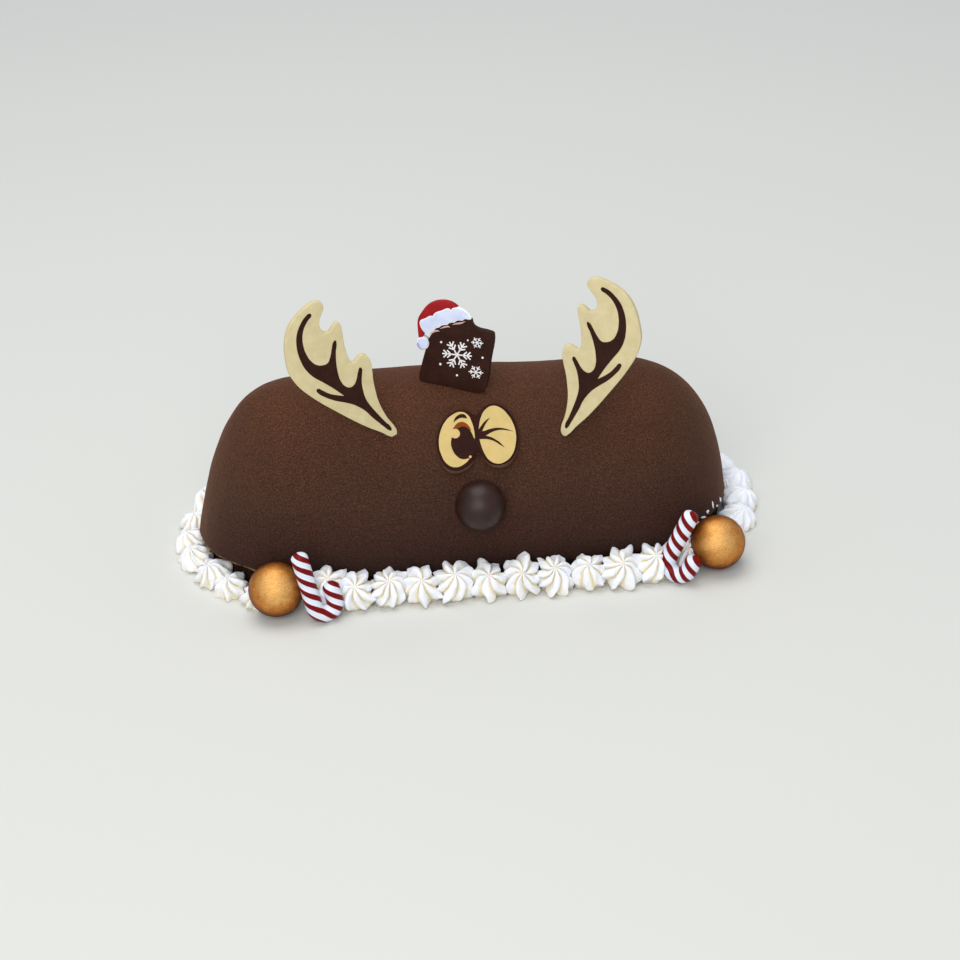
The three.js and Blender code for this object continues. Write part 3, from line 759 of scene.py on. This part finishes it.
EYES_RIM = [  # the plate at its back, from the notch under the eyes, clockwise
    (-0.2, -7.4), (-2.9, -11.2), (-6.4, -14.0), (-11.2, -15.2), (-15.2, -13.4), (-17.6, -9.0),
    (-18.6, -3.2), (-18.3, 1.8), (-16.4, 6.4), (-13.6, 10.2), (-10.0, 12.8), (-5.6, 13.7), (-2.4, 12.6),
    (0.0, 10.4), (2.0, 11.0), (4.8, 13.6), (8.8, 14.9), (13.0, 13.6), (16.2, 10.0), (18.3, 4.8),
    (18.9, -0.4), (18.4, -5.6), (16.2, -10.6), (12.4, -14.0), (7.8, -14.7), (3.6, -12.8), (1.2, -9.2)]
milk_edge = chocolate("milk_chocolate_edge", (66, 44, 30), (88, 62, 44), 0.45)
EYES_PLATE = [(x * 0.985, y * (0.985 if y > 0 else 0.905)) for x, y in EYES_RIM]
EYE_INLAY_DEPTH = -0.6
EYE_PARTS = [  # name, finish, points, how far it lies over the plate, corners
    ("open_eye_white", eye_cream, OPEN_EYE, 0.22, ()),
    ("winking_eye_white", eye_cream, WINKING_EYE, 0.22, ()),
    ("eye_lid_line", plate_chocolate,
     [(-9.7, 8.0), (-9.0, 9.5), (-7.5, 10.9), (-5.7, 11.4), (-4.2, 10.9), (-3.3, 9.0), (-4.5, 9.4),
      (-6.2, 9.7), (-7.9, 9.1)], 0.34, (0, 5)),
    ("eye_amber", amber_chocolate,
     [(-10.7, 4.5), (-8.9, 6.7), (-7.3, 7.7), (-5.7, 7.8), (-4.2, 7.0), (-2.9, 5.4), (-2.2, 3.4),
      (-4.6, 3.4), (-7.3, 3.4), (-9.3, 3.4)], 0.30, (0, 6)),
    ("eye_pupil", plate_chocolate,
     [(-5.6, 5.6), (-3.4, 4.4), (-2.2, 2.4), (-1.5, 0.2), (-0.7, -1.6), (-0.6, -4.6), (-2.6, -7.9),
      (-5.0, -9.0), (-7.9, -9.0), (-10.0, -7.4), (-11.6, -4.3), (-11.9, -1.3), (-11.1, 1.4),
      (-9.3, 3.9), (-7.6, 5.2)], 0.38, ()),
    ("eye_light", eye_cream, oval((-9.55, 2.8), 2.15, 2.15, 0, steps=12), 0.46, ()),
    ("eye_corner", eye_cream, oval((-4.05, -8.45), 0.58, 0.58, 0, steps=8), 0.42, ()),
    ("wink_crease_upper", plate_chocolate,
     [(0.6, 2.6), (1.3, 3.6), (2.6, 5.1), (4.4, 6.9), (7.0, 8.4), (5.6, 6.9), (4.1, 5.0), (2.7, 2.6)],
     0.34, (0, 4, 7)),
    ("wink_crease_middle", plate_chocolate,
     [(0.4, 2.6), (3.6, 2.6), (6.6, 3.2), (9.5, 3.3), (12.3, 2.8), (16.6, 0.9), (14.2, 1.6), (11.4, 2.2),
      (8.7, 2.1), (6.2, 1.4), (3.6, 0.2), (0.4, -0.6)], 0.36, (0, 5, 11)),
    ("wink_crease_lower", plate_chocolate,
     [(0.4, 0.6), (3.9, 0.3), (6.1, -0.5), (8.2, -1.9), (10.1, -3.6), (11.7, -5.9), (9.8, -4.4),
      (8.0, -2.9), (6.2, -1.9), (4.0, -1.2), (0.8, -0.9)], 0.34, (0, 5, 10)),
]
EYE_LAYERS = [  # name, finish, points, from and to height over the plate's face, softness, corners
    ("eyes_rim", milk_edge, EYES_RIM, -EYES_THICKNESS, -0.9, 0.7, ()),
    ("eyes_plate", plate_chocolate, EYES_PLATE, -EYES_THICKNESS + 0.4, 0, 0.45, ()),
]
EYE_LAYERS += [(name, finish, points, EYE_INLAY_DEPTH, over, 0.0, corners)
               for name, finish, points, over, corners in EYE_PARTS]
for name, finish, points, low, high, soft, corners in EYE_LAYERS:
    piece = flat_piece(points, low, high, soft, corners)
    stand_up(piece, *EYES_AT)
    finish_piece(piece, name, finish,
                 ["eye_plaque"])

# ---- The hat plaque ------------------------------------------------------------------------
# A square plate of dark chocolate stood in the velvet. A hat of coloured white chocolate is cast
# on its upper left corner: a red crown, a white fluffy band and a bobble. Snow crystals are piped
# on the plate in thin lines of white icing.
PLAQUE_AT = ((-16.4, -6.1, 81.8), -19, 6, -9)
red_chocolate = chocolate("red_white_chocolate", (138, 22, 28), (168, 34, 38), 0.5)
icy_chocolate = chocolate("icy_white_chocolate", (200, 212, 240), (222, 228, 248), 0.5)
icing_white = chocolate("white_icing", (236, 236, 238), (248, 246, 242), 0.4)
PLAQUE_LINE = [
    (-0.5, 1.2), (-0.9, 2.4), (-0.6, 7.9), (0.3, 15.6), (1.5, 23), (6, 30), (12, 34), (18.0, 36.1),
    (19.2, 35.9), (20.4, 33.6), (21.7, 32.6), (28.3, 32.0), (30.1, 31.6), (30.8, 30.1), (30.8, 18),
    (30.7, 5.9), (29.6, 2.6), (26.6, 1.0), (12, 0.9), (1.4, 0.8)]
HAT_BAND = [
    (-3.7, 30.0), (-1.3, 32.0), (1.0, 33.7), (1.7, 33.6), (2.4, 35.2), (5.5, 37.4), (8.9, 39.1),
    (9.6, 38.5), (10.4, 39.7), (12.7, 40.4), (15.0, 40.1), (17.1, 39.2), (18.6, 37.9), (19.4, 36.5),
    (16.4, 35.6), (15.6, 34.7), (13.0, 34.0), (12.2, 33.0), (9.7, 32.0), (9.0, 31.1), (6.2, 29.9),
    (5.4, 28.9), (4.0, 28.2), (2.1, 26.0), (0.6, 23.7), (-0.7, 24.8), (-1.9, 25.7), (-3.2, 27.4)]
HAT_CROWN = [
    (-3.4, 21.8), (-4.3, 25.7), (-4.8, 30.5), (-3.7, 34.0), (-1.8, 37.4), (0.9, 39.9), (4.4, 41.4),
    (8.0, 41.8), (10.2, 41.3), (12.4, 40.2), (8, 36), (2, 31), (-1, 25.5), (-1.5, 22.0)]
pink_icing = chocolate("pink_line", (196, 150, 152), (214, 176, 176), 0.5)
lilac_icing = chocolate("lilac_shade", (150, 152, 206), (172, 174, 222), 0.5)
HAT_PARTS = [  # name, finish, points, from and to height over the plate's face, softness, corners, inset
    ("plaque_plate", dark_chocolate, PLAQUE_LINE, -3.0, 0.0, 0.45, (), 0),
    ("hat_crown", red_chocolate, HAT_CROWN, -2.8, 0.3, 0.25, (0, 9, 13), 0),
    ("hat_band_edge", icing_white, HAT_BAND, -0.9, 0.42, 0.2, (3, 7, 15, 17, 19, 21), 0),
    ("hat_band", icy_chocolate, HAT_BAND, -0.4, 0.56, 0.1, (3, 7, 15, 17, 19, 21), 0.42),
    ("hat_bobble_edge", icing_white, oval((-1.2, 19.4), 2.95, 3.25, 0, steps=10), -2.8, 0.45, 0.5, (), 0),
    ("hat_bobble", icy_chocolate, oval((-1.1, 19.5), 2.6, 2.9, 0, steps=10), -0.5, 0.8, 0.5, (), 0),
    ("hat_bobble_shade", lilac_icing,
     [(-3.6, 19.4), (-3.3, 17.9), (-2.1, 16.8), (-0.5, 16.5), (-1.5, 17.3), (-2.4, 18.1), (-2.9, 19.2)],
     -0.3, 0.86, 0.0, (0, 3), 0),
    ("hat_line_lower", pink_icing,
     [(1.2, 23.9), (2.6, 25.3), (4.4, 26.6), (5.9, 27.0), (4.6, 27.4), (2.6, 26.0)],
     -0.3, 0.2, 0.0, (0, 3), 0),
    ("hat_line_middle", pink_icing,
     [(5.7, 28.2), (7.6, 29.2), (9.2, 29.9), (10.3, 30.0), (9.5, 30.6), (7.4, 29.8)],
     -0.3, 0.2, 0.0, (0, 3), 0),
    ("hat_line_upper", pink_icing,
     [(11.0, 31.5), (13.2, 32.3), (15.2, 33.0), (17.0, 34.7), (14.8, 33.7), (13.0, 33.0)],
     -0.3, 0.2, 0.0, (0, 3), 0),
]
for name, finish, points, low, high, soft, corners, inset in HAT_PARTS:
    piece = flat_piece(points, low, high, soft, corners, inset)
    stand_up(piece, *PLAQUE_AT)
    finish_piece(piece, name, finish, ["hat_plaque"])


def snow_crystal(centre, size, line, twigs):
    """Six arms with pairs of twigs each, as thin bars of icing."""
    bars = [((0, 0), (1, 0))] + [((at, 0), (at + 0.24, way * 0.24)) for at in twigs for way in (-1, 1)]
    pieces = []
    for arm in range(6):
        turn = Matrix.Rotation(math.radians(60 * arm + 8), 2)
        for first, last in bars:
            a, b = (turn @ Vector(end) * size + Vector(centre) for end in (first, last))
            side = (b - a).normalized() * line / 2
            across = Vector((-side.y, side.x))
            corners = [a - side + across, a - side - across, b + side - across, b + side + across]
            pieces.append(flat_piece([tuple(c) for c in corners], -0.3, 0.28, 0.1, range(4)))
    return pieces


ICING_DOTS = [(8.2, 11.2, 0.55), (7.2, 22.0, 0.5), (19.2, 25.8, 0.4), (16.5, 7.6, 0.5), (27.0, 19.0, 0.5)]
icing = snow_crystal((15.2, 17.6), 6.6, 0.6, (0.42, 0.68))
icing += snow_crystal((24.9, 11.2), 3.2, 0.42, (0.5,)) + snow_crystal((23.6, 25.6), 2.6, 0.38, (0.5,))
for x, y, radius in ICING_DOTS:
    icing.append(flat_piece(oval((x, y), radius, radius, 0, steps=8), -0.3, 0.35, 0.15))
pick(icing[0])
for piece in icing:
    piece.select_set(True)
bpy.ops.object.join()
crystals = bpy.context.object
stand_up(crystals, *PLAQUE_AT)
finish_piece(crystals, "plaque_icing", icing_white, ["hat_plaque"])

# ---- The antlers ---------------------------------------------------------------------------
# Flat plates of white chocolate with a forked line of dark chocolate let into the front, cast in
# a mould and pushed into the log by their points.
ANTLERS = {
    "left": ((-30, -29.6, 68.9), 15.4, 5.3, 12.8),
    "right": ((45.6, -33.4, 64.0), -21.7, 7.2, 0),
}
ANTLER_THICKNESS = 2.8
ANTLER_LINE = [  # the right one: from its point up the inner edge, over the top, and down outside
    (0.2, -0.9), (-1.3, 0.8), (-1.3, 3.6), (0.3, 8.8), (1.4, 14.7), (1.7, 19.6), (1.3, 25.0), (0.7, 29.6),
    (-0.5, 35.0), (-0.9, 40.2), (0.6, 43.0), (2.3, 43.4), (4.2, 42.6), (5.8, 41.5), (6.9, 41.9),
    (7.6, 44.5), (7.6, 48.4), (7.3, 51.8), (6.2, 58.0), (6.0, 61.3), (7.1, 62.6), (9.1, 61.9),
    (11.4, 60.0), (13.6, 60.6), (14.7, 63.2), (14.0, 66.8), (11.5, 70.0), (10.2, 72.3), (10.6, 74.4),
    (13.4, 75.9), (16.8, 75.5), (20.5, 74.1), (24.2, 72.3), (26.6, 70.6), (29.3, 67.6), (32.2, 62.0),
    (34.0, 55.1), (34.7, 49.8), (33.8, 44.4), (32.3, 40.3), (29.7, 35.5), (26.0, 29.7), (21.2, 23.1),
    (16.2, 16.4), (10.6, 9.5), (5.5, 4.1), (2.3, 0.3),
]
ANTLER_CORNERS = (13, 22)  # the bottoms of its two notches
INLAY_CORNERS = (47,)
ANTLER_INLAY = [
    (1.0, 3.1), (0.7, 5.1), (2.0, 8.0), (4.2, 13.7), (5.9, 18.7), (6.8, 22.8), (6.7, 26.9), (5.9, 31.5),
    (4.4, 35.4), (3.8, 37.3), (4.4, 38.2), (5.7, 36.9), (7.6, 33.7), (9.6, 31.6), (11.5, 31.2),
    (13.4, 32.7), (14.5, 35.8), (14.5, 39.8), (13.6, 45.0), (12.0, 50.2), (10.4, 54.0), (10.5, 55.2),
    (11.6, 54.8), (13.2, 52.3), (15.2, 48.8), (17.1, 46.7), (19.3, 46.6), (21.9, 47.9), (23.7, 50.7),
    (24.6, 54.7), (24.5, 59.3), (23.5, 63.2), (21.3, 66.9), (18.8, 69.2), (16.5, 70.9), (16.8, 71.9),
    (19.0, 71.5), (22.5, 68.9), (25.4, 65.3), (27.0, 61.5), (27.9, 57.0), (27.9, 51.8), (27.2, 47.8),
    (25.4, 43.6), (22.3, 39.3), (19.2, 34.9), (16.6, 30.7), (15.4, 28.6), (17.9, 30.1), (21.1, 32.5),
    (23.6, 35.4), (25.2, 37.1), (26.1, 36.7), (25.8, 35.0), (23.7, 32.1), (19.9, 28.3), (16.1, 25.5),
    (12.9, 22.8), (11.0, 20.6), (9.0, 17.7), (7.1, 13.4), (5.2, 9.7), (3.3, 6.1), (1.7, 3.5),
]
antler_white = chocolate("white_chocolate_antlers", (203, 189, 144), (216, 203, 160), 0.5)
for side, place_of in ANTLERS.items():
    flip = -1 if side == "left" else 1
    plate = flat_piece([(flip * x, y) for x, y in ANTLER_LINE], -ANTLER_THICKNESS, 0.0, 0.4, ANTLER_CORNERS)
    stand_up(plate, *place_of)
    finish_piece(plate, f"antler_{side}_plate", antler_white, [f"antler_{side}"])
    inlay = flat_piece([(flip * x, y) for x, y in ANTLER_INLAY], -0.5, 0.14, 0.0, INLAY_CORNERS)
    stand_up(inlay, *place_of)
    finish_piece(inlay, f"antler_{side}_inlay", dark_chocolate, [f"antler_{side}"])

# ---- The crumbs ----------------------------------------------------------------------------
# Where the antlers' points were pushed in, the frozen coat chipped, and its crumbs lie on the
# velvet.
CRUMB_COUNT, CRUMB_SPREAD = 30, 8
CRUMBS_AT = [(52, -29), (-41, -29)]
crumbs = []
for number in range(CRUMB_COUNT):
    x, y = CRUMBS_AT[number % 2]
    spread = noise.noise_vector(Vector((number * 1.71, 3.3, 8.8))) * CRUMB_SPREAD
    start = Vector((x + spread.x, y + spread.y * 0.5, 120)) * MM
    _, spot, _, _ = log.ray_cast(start, Vector((0, 0, -1)))
    bpy.ops.mesh.primitive_ico_sphere_add(subdivisions=2, radius=(0.16 + 0.009 * (number * 7 % 23)) * MM)
    crumb_bit = bpy.context.object
    for point in crumb_bit.data.vertices:
        lump = 1 + 0.6 * noise.noise(point.co / MM * 2.5 + Vector((number * 2.3, 0, 0)))
        point.co = Vector((point.co.x, point.co.y, point.co.z * 0.7)) * lump + spot
    crumbs.append(crumb_bit)
pick(crumbs[0])
for crumb_bit in crumbs:
    crumb_bit.select_set(True)
bpy.ops.object.join()
bpy.ops.object.shade_smooth()
scraped_coat, tree, scrapings, place = new_finish("scraped_coat", 0.8, 0.2)
tree.links.new(tinted(tree, grain(tree, place, 1.2), (0.3, linear(74, 50, 38)), (0.7, linear(120, 92, 74))),
               scrapings.inputs["Base Color"])
finish_piece(bpy.context.object, "coat_crumbs", scraped_coat)

# ---- Floor, light and camera ---------------------------------------------------------------
# A pale studio floor, a wide light overhead, a softer one from the front, and the camera where
# the photograph was taken from.
bpy.ops.mesh.primitive_plane_add(size=6, location=(0, 0, 0))
floor = bpy.context.object
floor.name = "studio_floor"
paper, tree, matt, place = new_finish("studio_paper", 0.8, 0.2)
matt.inputs["Base Color"].default_value = linear(212, 213, 207)
floor.data.materials.append(paper)

world = bpy.data.worlds.new("studio")
bpy.context.scene.world = world
world.use_nodes = True
world.node_tree.nodes["Background"].inputs["Color"].default_value = linear(238, 243, 255)
world.node_tree.nodes["Background"].inputs["Strength"].default_value = 0.55
for name, spot, size, power, tint in (
        ("overhead", (-0.15, 0.2, 1.5), 1.3, 12, (1.0, 0.985, 0.96)),
        ("front", (-0.35, -1.35, 1.0), 1.5, 15.5, (1.0, 0.975, 0.94))):
    light = bpy.data.lights.new(name, "AREA")
    light.shape, light.size, light.energy, light.color = "DISK", size, power, tint
    lamp = bpy.data.objects.new(name, light)
    bpy.context.collection.objects.link(lamp)
    lamp.location = spot
    lamp.rotation_euler = (Vector((0, 0, 0.03)) - Vector(spot)).to_track_quat("-Z", "Y").to_euler()

AZIMUTH, ELEVATION, ROLL, DISTANCE = math.radians(-3.4), math.radians(31.8), math.radians(3.2), 1.1
aim = Vector((8.7, 0, 23)) * MM
back = Vector((math.sin(AZIMUTH) * math.cos(ELEVATION), -math.cos(AZIMUTH) * math.cos(ELEVATION),
               math.sin(ELEVATION)))
right = Vector((math.cos(AZIMUTH), math.sin(AZIMUTH), 0))
up = back.cross(right)
right, up = (right * math.cos(ROLL) - up * math.sin(ROLL), right * math.sin(ROLL) + up * math.cos(ROLL))
view = bpy.data.cameras.new("camera")
view.sensor_width, view.lens, view.clip_start = 36, 87.56, 0.05
camera = bpy.data.objects.new("camera", view)
bpy.context.collection.objects.link(camera)
facing = Matrix((right, up, back)).transposed().to_4x4()
camera.matrix_world = Matrix.Translation(aim + back * DISTANCE) @ facing
bpy.context.scene.camera = camera
bpy.context.scene.view_settings.view_transform = "Standard"
